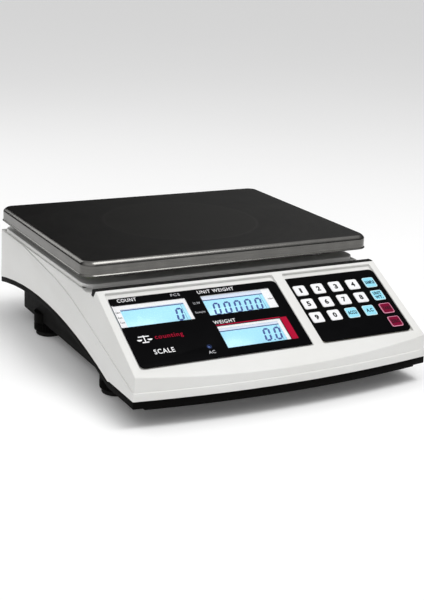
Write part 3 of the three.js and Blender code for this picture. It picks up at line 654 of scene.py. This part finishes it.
def emblem():
    """Plain pictogram of a pair of scales, with two generic words."""
    console_patch("emblem_post", -123.9, -122.9, 55.8, 63.6, INK_WHITE, FILM_TOP, "overlay")
    console_patch("emblem_beam", -128.6, -118.2, 56.6, 57.7, INK_WHITE, FILM_TOP, "overlay", radius=0.5)
    console_patch("emblem_base", -126.6, -120.2, 63.2, 64.4, INK_WHITE, FILM_TOP, "overlay", radius=0.5)
    bowl_radius, bowl_depth, bowl_s = 2.4, 1.9, 60.2
    lower_half = [math.pi * (1 + i / 12) for i in range(13)]
    for side, x in (("left", -128.2), ("right", -118.6)):
        bowl = [(x + bowl_radius * math.cos(a), bowl_depth * math.sin(a) - bowl_s) for a in lower_half]
        outline = [(px * MM, py * MM) for px, py in bowl]
        mesh = on_console(flat_plate(f"emblem_bowl_{side}", [outline], FILM_TOP, FILM_TOP + PRINT))
        place(f"emblem_bowl_{side}", mesh, INK_WHITE, "housing", "overlay")
    console_text("emblem_word", "counting", -113.6, -86.8, 60.2, 6.0, CRIMSON)
    console_text("emblem_kind", "SCALE", -120.6, -101.4, 75.6, 5.4, INK_WHITE, 0.012)


emblem()


# ------------------------------------------------------------------ status light
def led_lens():
    """A short cylinder with a domed top."""
    depth, rise = 1.8 * MM, 0.5 * MM
    base, shoulder = LED_TOP - depth, LED_TOP - rise
    dome = [(0, base), (LED_RADIUS, base), (LED_RADIUS, shoulder)]
    dome += [(LED_RADIUS * math.cos(a), shoulder + rise * math.sin(a)) for a in (0.4, 0.8, 1.2)]
    dome += [(0, LED_TOP)]
    mesh = smooth_by_angle(lathe("led_lens", dome, LED_X, LED_Y, 32), 40)
    place("led_lens", on_console(mesh), LED, "housing", "led", "charge_led")


def led_ring():
    """Dim ring printed round the status light."""
    rings = [circle(LED_X, LED_Y, radius, 40) for radius in (2.3 * MM, LED_RADIUS + 0.15 * MM)]
    mesh = on_console(flat_plate("led_ring", rings, FILM_TOP - BITE, FILM_TOP + PRINT))
    place("led_ring", mesh, INK_NAVY, "housing", "overlay")


led_lens()
led_ring()


# ------------------------------------------------------------------ keys
KEY_LEGENDS = {  # lines of the legend, their width and height; the other keys show their digit
    "key_sample": (["SAMPLE"], 10.2, 4.2), "key_unit_weight": (["UNIT", "WT."], 8.8, 3.9),
    "key_add": (["ACCU"], 9.8, 4.4), "key_clear_total": (["A.C"], 7.4, 4.4),
    "key_tare": (["TARE"], 9.4, 4.2), "key_zero": (["ZERO"], 9.4, 4.2),
    "key_1": (["1"], 2.2, 6.0),
}
KEY_INKS = {  # rim, face and legend for each material slot
    "key_white": (KEY_WHITE, KEY_WHITE, INK_DARK),
    "key_blue": (KEY_BLUE_EDGE, KEY_BLUE, INK_BLUE),
    "key_red": (KEY_RED_EDGE, KEY_RED, INK_WINE),
}


def key_piece(node):
    """A printed key: a rounded cap with a rim, a slightly raised face and its legend."""
    slot = SLOTS[node]
    rim, face, ink = KEY_INKS[slot]
    (x0, x1), (y0, y1), (z0, z1) = console_box(node)
    rim_top, face_top = z1 - 0.12 * MM, z1 - 0.04 * MM
    face_base, legend_base = rim_top - 0.1 * MM, face_top - 0.02 * MM
    outline = rounded_outline(x0, x1, y0, y1, [1.9 * MM] * 4, 8)
    cap = flat_plate(f"{node}_cap", [outline], z0, rim_top, 0.18 * MM)
    place(f"{node}_cap", on_console(cap), rim, node, slot, node)
    inset = 0.75 * MM
    outline = rounded_outline(x0 + inset, x1 - inset, y0 + inset, y1 - inset, [1.5 * MM] * 4, 8)
    top = flat_plate(f"{node}_face", [outline], face_base, face_top, 0.06 * MM)
    place(f"{node}_face", on_console(top), face, node, slot)
    x, y = (x0 + x1) / 2, (y0 + y1) / 2
    lines, *size = KEY_LEGENDS.get(node, ([node[-1]], 4.0, 6.0))
    width, height = (v * MM for v in size)
    for i, words in enumerate(lines):
        name = f"{node}_legend_{i + 1}"
        drop = (i - (len(lines) - 1) / 2) * height * 1.3
        mesh = text_mesh(name, words, x - width / 2, x + width / 2, y - drop, height, legend_base, z1, 0.045)
        place(name, on_console(mesh), ink, node, slot)


KEYS = [n for n in frame["nodes"] if n.startswith("key_")]
for key in KEYS:
    key_piece(key)
overlay_piece("keypad_overlay", (5, 5, 0.4, 5), [hole_round(key, 0.33 * MM, 2.1 * MM) for key in KEYS])


# ------------------------------------------------------------------ pan
PAN_LOW, PAN_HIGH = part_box("pan")
PAN_BEND, PAN_SHEET = 3.9 * MM, 1.4 * MM  # outer radius of the bend, and the sheet's thickness
HEM = [  # the bead along the lower edge: distance in from the box's side, and up, in millimetres
    (0.6, 0), (0.2, 0.12), (0.04, 0.35), (0, 0.55), (0.08, 0.8), (0.3, 1.05), (0.9, 1.58), (0.98, 1.68),
]
SKIRT = HEM[-1][0] * MM  # how far the flat of the skirt lies in from the box's side
FLAT_EDGE = SKIRT + PAN_BEND + 0.4 * MM


def pan_outside():
    """(inset, height) from the hem up the skirt, round the bend and in over the flat top."""
    hold = 0.25 * MM  # strip at each end of the skirt that keeps its middle flat
    flatter = 1.4  # power that flattens the middle of the bend towards a chamfer
    steps = 8
    low, top = PAN_LOW.z, PAN_HIGH.z
    profile = [(inset * MM, low + up * MM) for inset, up in HEM]
    profile += [(SKIRT, profile[-1][1] + hold), (SKIRT, top - PAN_BEND - hold), (SKIRT, top - PAN_BEND)]
    for i in range(1, steps + 1):
        angle = i / steps * math.pi / 2
        away, down = (1 - max(f(angle), 0) ** flatter for f in (math.cos, math.sin))
        profile.append((SKIRT + PAN_BEND * away, top - PAN_BEND * down))
    flat_rings = [20 * MM, 60 * MM, 100 * MM]
    return profile + [(inset, top) for inset in [FLAT_EDGE] + flat_rings]


def pan_inside():
    """(inset, height) from the middle of the underside out, down the skirt and to the hem."""
    steps = 4
    radius, under = PAN_BEND - PAN_SHEET, PAN_HIGH.z - PAN_SHEET
    profile = [(100 * MM, under), (FLAT_EDGE, under)]
    for i in range(steps, -1, -1):
        angle = i / steps * math.pi / 2
        profile.append((PAN_SHEET + radius * (1 - math.cos(angle)), under - radius * (1 - math.sin(angle))))
    low = PAN_LOW.z
    return profile + [(PAN_SHEET, low + 1 * MM), (PAN_SHEET - 0.1 * MM, low + 0.3 * MM), (0.95 * MM, low)]


def pan_piece():
    """Pressed sheet pan: flat top, rolled bend, turned-down skirt with a hemmed lower edge."""
    centre, half = (PAN_LOW + PAN_HIGH) / 2, (PAN_HIGH - PAN_LOW) / 2
    corner, least = 13 * MM, 1 * MM
    rings = []
    for inset, z in pan_inside() + pan_outside():
        x, y = half.x - inset, half.y - inset
        points = rounded_outline(-x, x, -y, y, [max(corner - inset, least)] * 4, 12)
        rings.append([(centre.x + px, centre.y + py, z) for px, py in points])
    mesh = smooth_by_angle(ring_mesh("pan_sheet", rings), 50)
    place("pan_sheet", mesh, PAN, "pan", "stainless", "pan")


pan_piece()

# ------------------------------------------------------------------ housing
REAR_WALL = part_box("top_cover")[1].y - 6 * MM  # what lies behind this is the rear wall
REAR_OPENINGS = 80 * MM  # the wall's openings lie below this height


def cover_share(edge):
    """Full rounding on the outer corners that face up, less elsewhere, none on the rear openings."""
    inner_share, plain_share, full_share = 0.12, 0.35, 1.0
    faces_up, upright, short = 0.8, 0.15, 3 * MM
    if all(v.co.y > REAR_WALL and v.co.z < REAR_OPENINGS for v in edge.verts):
        return 0.0
    if not edge.is_convex:
        return inner_share
    slopes = [face.normal.z for face in edge.link_faces]
    outer_corner = max(slopes) > faces_up and abs(min(slopes)) < upright
    return full_share if outer_corner and edge.calc_length() > short else plain_share


def tray_share(edge):
    return 0.8 if edge.is_convex else 0.2


refine("top_cover", WHITE, 0.85 * MM, segments=3, share=cover_share, clamp=False)
refine("base_tray", BLACK, 0.5 * MM, share=tray_share, clamp=False)
refine("console_seal", RUBBER, 0.6 * MM, segments=3)


# ------------------------------------------------------------------ feet
PLACES = [f"{end}_{side}" for end in ("front", "rear") for side in ("left", "right")]


def foot_knob(node):
    """Ribbed wheel with the start of its stud on top."""
    low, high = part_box(node)
    centre, radius = (low + high) / 2, (high.x - low.x) / 2
    top, stud, axis = 12.9 * MM, 3.9 * MM, 0.2 * MM
    profile = [
        (axis, low.z), (radius - 2.2 * MM, low.z), (radius - 1.2 * MM, low.z + 0.2 * MM),
        (radius - 0.3 * MM, low.z + 0.9 * MM), (radius, low.z + 1.6 * MM, "ribbed"),
        (radius, top - 1.4 * MM, "ribbed"), (radius - 0.3 * MM, top - 0.5 * MM), (radius - 1.1 * MM, top),
        (stud, top), (stud, high.z - 0.6 * MM), (stud - 0.7 * MM, high.z), (axis, high.z),
    ]
    mesh = lathe(f"{node}_knob", profile, centre.x, centre.y, 192, ribs=32, rib_depth=0.9 * MM)
    place(f"{node}_knob", smooth_by_angle(mesh, 40), BLACK, node, "black_abs", node)


def foot_sole(node):
    """Rubber sole with three round lands between its grooves."""
    low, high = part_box(node)
    centre, radius = (low + high) / 2, (high.x - low.x) / 2
    groove, axis = 0.5 * MM, 0.2 * MM
    profile = [(axis, groove)]
    for land in (3.5 * MM, 6.5 * MM, 9.5 * MM):
        profile += [(land - 0.7 * MM, groove), (land - 0.5 * MM, 0.0)]
        profile += [(land + 1.3 * MM, 0.0), (land + 1.5 * MM, groove)]
    profile += [(radius - 0.9 * MM, 0.1 * MM), (radius - 0.3 * MM, groove), (radius, 1.3 * MM)]
    profile += [(radius, high.z - 0.3 * MM), (radius - 0.3 * MM, high.z), (axis, high.z)]
    mesh = lathe(f"{node}_sole", profile, centre.x, centre.y, 64)
    place(f"{node}_sole", smooth_by_angle(mesh), RUBBER, node, "rubber", node)


for corner in PLACES:
    foot_knob(f"foot_wheel_{corner}")
    foot_sole(f"foot_pad_{corner}")

# ------------------------------------------------------------------ parts under the pan and inside
for corner in PLACES:
    refine(f"pan_cushion_{corner}", RUBBER, 0.4 * MM)
refine("pan_spider", ALLOY, 0.8 * MM)
refine("load_cell_column", ALLOY, 0.5 * MM)
refine("bubble_level", VIAL, 0.4 * MM)
for bolt in ("load_cell_column_bolt_1", "load_cell_column_bolt_2"):
    refine(bolt, ZINC, 0.3 * MM)
repaint(ALLOY, "load_cell")
repaint(ZINC, "load_cell_foot", "load_cell_foot_bolt_1", "load_cell_foot_bolt_2")
repaint(ZINC, "base_frame_plate", "battery_strap")
repaint(BATTERY, "battery")
repaint(CORE, "transformer")
repaint(BOARD, "main_board", "display_board")
repaint(CIRCUIT, "keypad_circuit")
for fitting in ("mains_inlet", "power_switch_body", "power_rocker"):
    refine(fitting, BLACK, 0.35 * MM)


def block(name, low, high, material, body, slot):
    """A small box between two corners, its edges rounded."""
    mesh = bpy.data.meshes.new(name)
    with editing(mesh) as work:
        bmesh.ops.create_cube(work, size=1)
        for vertex in work.verts:
            vertex.co = Vector(a + (c + 0.5) * (b - a) for a, b, c in zip(low, high, vertex.co))
    place(name, rounded(mesh, 0.2 * MM), material, body, slot)


def inlet_blades():
    """Bright metal sleeves over the three contact blades of the mains inlet."""
    low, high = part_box("mains_inlet")
    x, z = (low.x + high.x) / 2, (low.z + high.z) / 2
    pitch, stagger = 7 * MM, 2.5 * MM
    half_width, half_height = 1.15 * MM, 2.15 * MM
    root, tip = high.y - 14 * MM, high.y - 6.4 * MM
    for index, (dx, dz) in enumerate(((-pitch, -stagger), (0, stagger), (pitch, -stagger)), 1):
        start = (x + dx - half_width, root, z + dz - half_height)
        end = (x + dx + half_width, tip, z + dz + half_height)
        block(f"inlet_blade_{index}", start, end, ZINC, "housing", "steel")


inlet_blades()


# ------------------------------------------------------------------ studio
def studio_floor():
    """Wide pale paper with a faint glow, so that it stays near white."""
    mesh = bpy.data.meshes.new("floor")
    size = 60
    corners = [(-size, -size, 0), (size, -size, 0), (size, size, 0), (-size, size, 0)]
    mesh.from_pydata(corners, [], [(0, 1, 2, 3)])
    floor = bpy.data.objects.new("floor", mesh)
    scene.collection.objects.link(floor)
    look = Look("floor_paper", (0.98, 0.98, 0.98), 0.9)
    look.roughness_from(look.noise(3, 3), 0.04)
    look.set(Emission_Color=(1, 1, 1, 1), Emission_Strength=0.06)
    mesh.materials.append(look.material)


def area_light(name, location, target, size, power):
    data = bpy.data.lights.new(name, "AREA")
    data.shape, data.size, data.size_y, data.energy = "RECTANGLE", *size, power
    lamp = bpy.data.objects.new(name, data)
    aim = Vector(target) - Vector(location)
    lamp.matrix_world = Matrix.Translation(location) @ aim.to_track_quat("-Z", "Y").to_matrix().to_4x4()
    scene.collection.objects.link(lamp)


def studio_world():
    """Bright overhead and at the front left, dim at the right, dark behind for the polished pan top."""
    world = bpy.data.worlds.new("studio")
    world.use_nodes = True
    scene.world = world
    tree = world.node_tree
    tree.nodes.clear()
    node, link = tree.nodes.new, tree.links.new
    coords = node("ShaderNodeTexCoord")

    def along(direction, numbers):
        """How far the view ray points along that direction, ranged."""
        dot, ranged = node("ShaderNodeVectorMath"), node("ShaderNodeMapRange")
        dot.operation = "DOT_PRODUCT"
        dot.inputs[1].default_value = direction
        link(coords.outputs["Generated"], dot.inputs[0])
        link(dot.outputs["Value"], ranged.inputs[0])
        for index, number in enumerate(numbers, 1):
            ranged.inputs[index].default_value = number
        return ranged.outputs[0]

    def added(first, second):
        total = node("ShaderNodeMath")
        link(first, total.inputs[0])
        link(second, total.inputs[1])
        return total.outputs[0]

    overhead = node("ShaderNodeValToRGB")
    stops = overhead.color_ramp.elements  # positions are sines of the elevation
    stops[0].position, stops[0].color = 0.44, (0, 0, 0, 1)
    stops[1].position, stops[1].color = 0.8, (1, 1, 1, 1)
    middle = stops.new(0.56)
    middle.color = (0.16, 0.16, 0.16, 1)
    link(along((0, 0, 1), (0, 1, 0, 1)), overhead.inputs[0])
    right = along((1, 0, 0), (0.25, 0.66, 0.0, 0.18))
    front_left = along((-0.8, -0.6, 0), (0.1, 0.7, 0.0, 0.68))
    background, output = node("ShaderNodeBackground"), node("ShaderNodeOutputWorld")
    background.inputs["Strength"].default_value = 0.8
    link(added(added(overhead.outputs[0], right), front_left), background.inputs["Color"])
    link(background.outputs[0], output.inputs["Surface"])


studio_floor()
studio_world()
area_light("overhead_softbox", (0.35, -0.55, 1.85), (0, 0, 0.03), (0.9, 0.8), 15.5)
area_light("rear_left_strip", (-0.58, 1.26, 0.77), (-0.15, 0, 0.11), (0.4, 0.7), 2.0)
